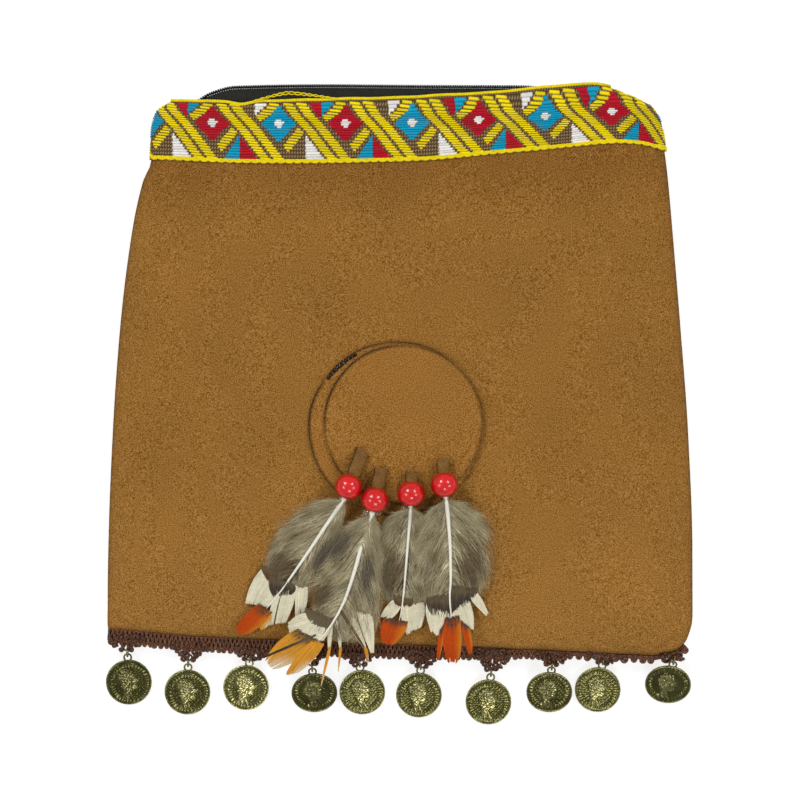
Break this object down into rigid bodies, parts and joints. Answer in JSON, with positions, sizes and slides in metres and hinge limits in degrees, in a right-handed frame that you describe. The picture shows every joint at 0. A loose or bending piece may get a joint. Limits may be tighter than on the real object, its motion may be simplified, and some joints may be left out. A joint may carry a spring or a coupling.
{
  "type": "feathered pouch bag",
  "caption": "Flat faux-suede pouch with a zipped mouth, a woven ribbon band, stacked discs with bead and feather drops, and a braid trim hung with coin drops.",
  "frame": {"origin": "on the underside of the back panel, near its middle, in the plane that the pouch lies on", "axes": "+X to the right across the pouch seen from the front, +Y from the coin trim to the mouth, +Z out of the front"},
  "size_m": [0.2358, 0.2575, 0.0253],
  "materials": {
    "suede": "matte brown faux suede with a short nap",
    "ribbon": "woven jacquard ribbon in yellow, red, blue and white on dark brown",
    "zip": "black woven zip tape and nylon coil",
    "lace": "brown-grey suede lace",
    "bead": "red lacquered wood",
    "feather": "grey downy feather with dark, white and orange bands at the tip",
    "braid": "dark brown shiny crochet yarn",
    "brass": "antique brass, dark in the hollows and rubbed bright on the relief"
  },
  "bodies": {
    "root": {"front_panel": "suede", "back_panel": "suede", "ribbon_band": "ribbon", "zip_tape_front": "zip", "zip_tape_back": "zip", "zip_coil": "zip", "zip_slider": "zip", "patch_lower": "suede", "patch_upper": "suede", "thong_1": "lace", "thong_2": "lace", "thong_3": "lace", "thong_4": "lace", "bead_1": "bead", "bead_2": "bead", "bead_3": "bead", "bead_4": "bead", "feather_1": "feather", "feather_2": "feather", "feather_3": "feather", "feather_4": "feather", "trim": "braid", "coin_01": "brass", "coin_02": "brass", "coin_03": "brass", "coin_04": "brass", "coin_05": "brass", "coin_06": "brass", "coin_07": "brass", "coin_08": "brass", "coin_09": "brass", "coin_10": "brass", "jump_ring_01": "brass", "jump_ring_02": "brass", "jump_ring_03": "brass", "jump_ring_04": "brass", "jump_ring_05": "brass", "jump_ring_06": "brass", "jump_ring_07": "brass", "jump_ring_08": "brass", "jump_ring_09": "brass", "jump_ring_10": "brass"}
  },
  "joints": []
}
